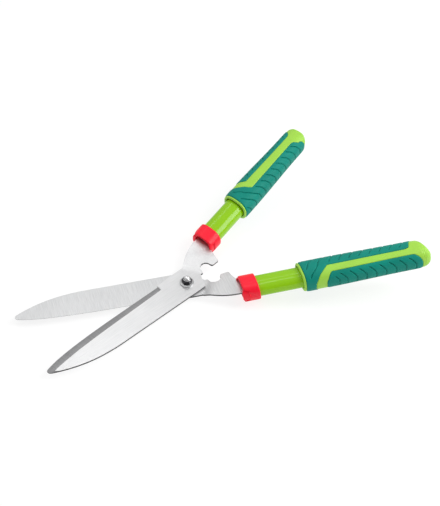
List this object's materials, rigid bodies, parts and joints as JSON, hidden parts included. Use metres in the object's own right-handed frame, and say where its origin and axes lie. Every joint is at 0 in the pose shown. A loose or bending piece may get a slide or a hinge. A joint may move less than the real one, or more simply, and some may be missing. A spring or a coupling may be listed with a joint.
{
  "type": "hedge shears",
  "caption": "Manual hedge shears: long straight ground blades crossed on one bolt, oval tube handles with moulded collars and soft-touch grips.",
  "frame": {"origin": "on the pivot bolt's centre line, in the plane where the two blades touch", "axes": "+X along the centre line between the blades, towards the tips; +Y towards the upper blade's tip side, which is the lower half's handle side; +Z along the bolt towards the nut"},
  "size_m": [0.5394, 0.3424, 0.0823],
  "materials": {
    "upper_blade_steel": "satin, brushed, with a ground bevel",
    "lower_blade_steel": "satin, brushed across the blade",
    "bolt_zinc": "bright zinc plate",
    "nut_zinc": "bright zinc plate",
    "nut_nylon": "natural nylon",
    "washer_zinc": "plain plated steel",
    "collar_red": "semi-gloss moulded plastic",
    "insert_black": "moulded nylon, hidden",
    "pin_steel": "plain steel, hidden",
    "tube_green": "glossy powder coat",
    "grip_light_green": "satin moulded plastic",
    "grip_teal": "soft matte overmould"
  },
  "bodies": {
    "upper_half": {"upper_blade": "upper_blade_steel", "pivot_bolt": "bolt_zinc", "pivot_nut": "nut_zinc", "nut_insert": "nut_nylon", "nut_washer": "washer_zinc", "head_washer": "washer_zinc", "upper_collar": "collar_red", "upper_tang_insert": "insert_black", "upper_tang_pin": "pin_steel", "upper_tube": "tube_green", "upper_grip_core": "grip_light_green", "upper_inner_pad": "grip_teal", "upper_outer_pad": "grip_teal"},
    "lower_half": {"lower_blade": "lower_blade_steel", "lower_collar": "collar_red", "lower_tang_insert": "insert_black", "lower_tang_pin": "pin_steel", "lower_tube": "tube_green", "lower_grip_core": "grip_light_green", "lower_inner_pad": "grip_teal", "lower_outer_pad": "grip_teal"}
  },
  "joints": [
    {"name": "blade_pivot", "type": "hinge", "parent": "upper_half", "child": "lower_half", "pos_m": [0, 0, 0], "axis": [0, 0, 1], "range_deg": [-45, 24.2]}
  ]
}
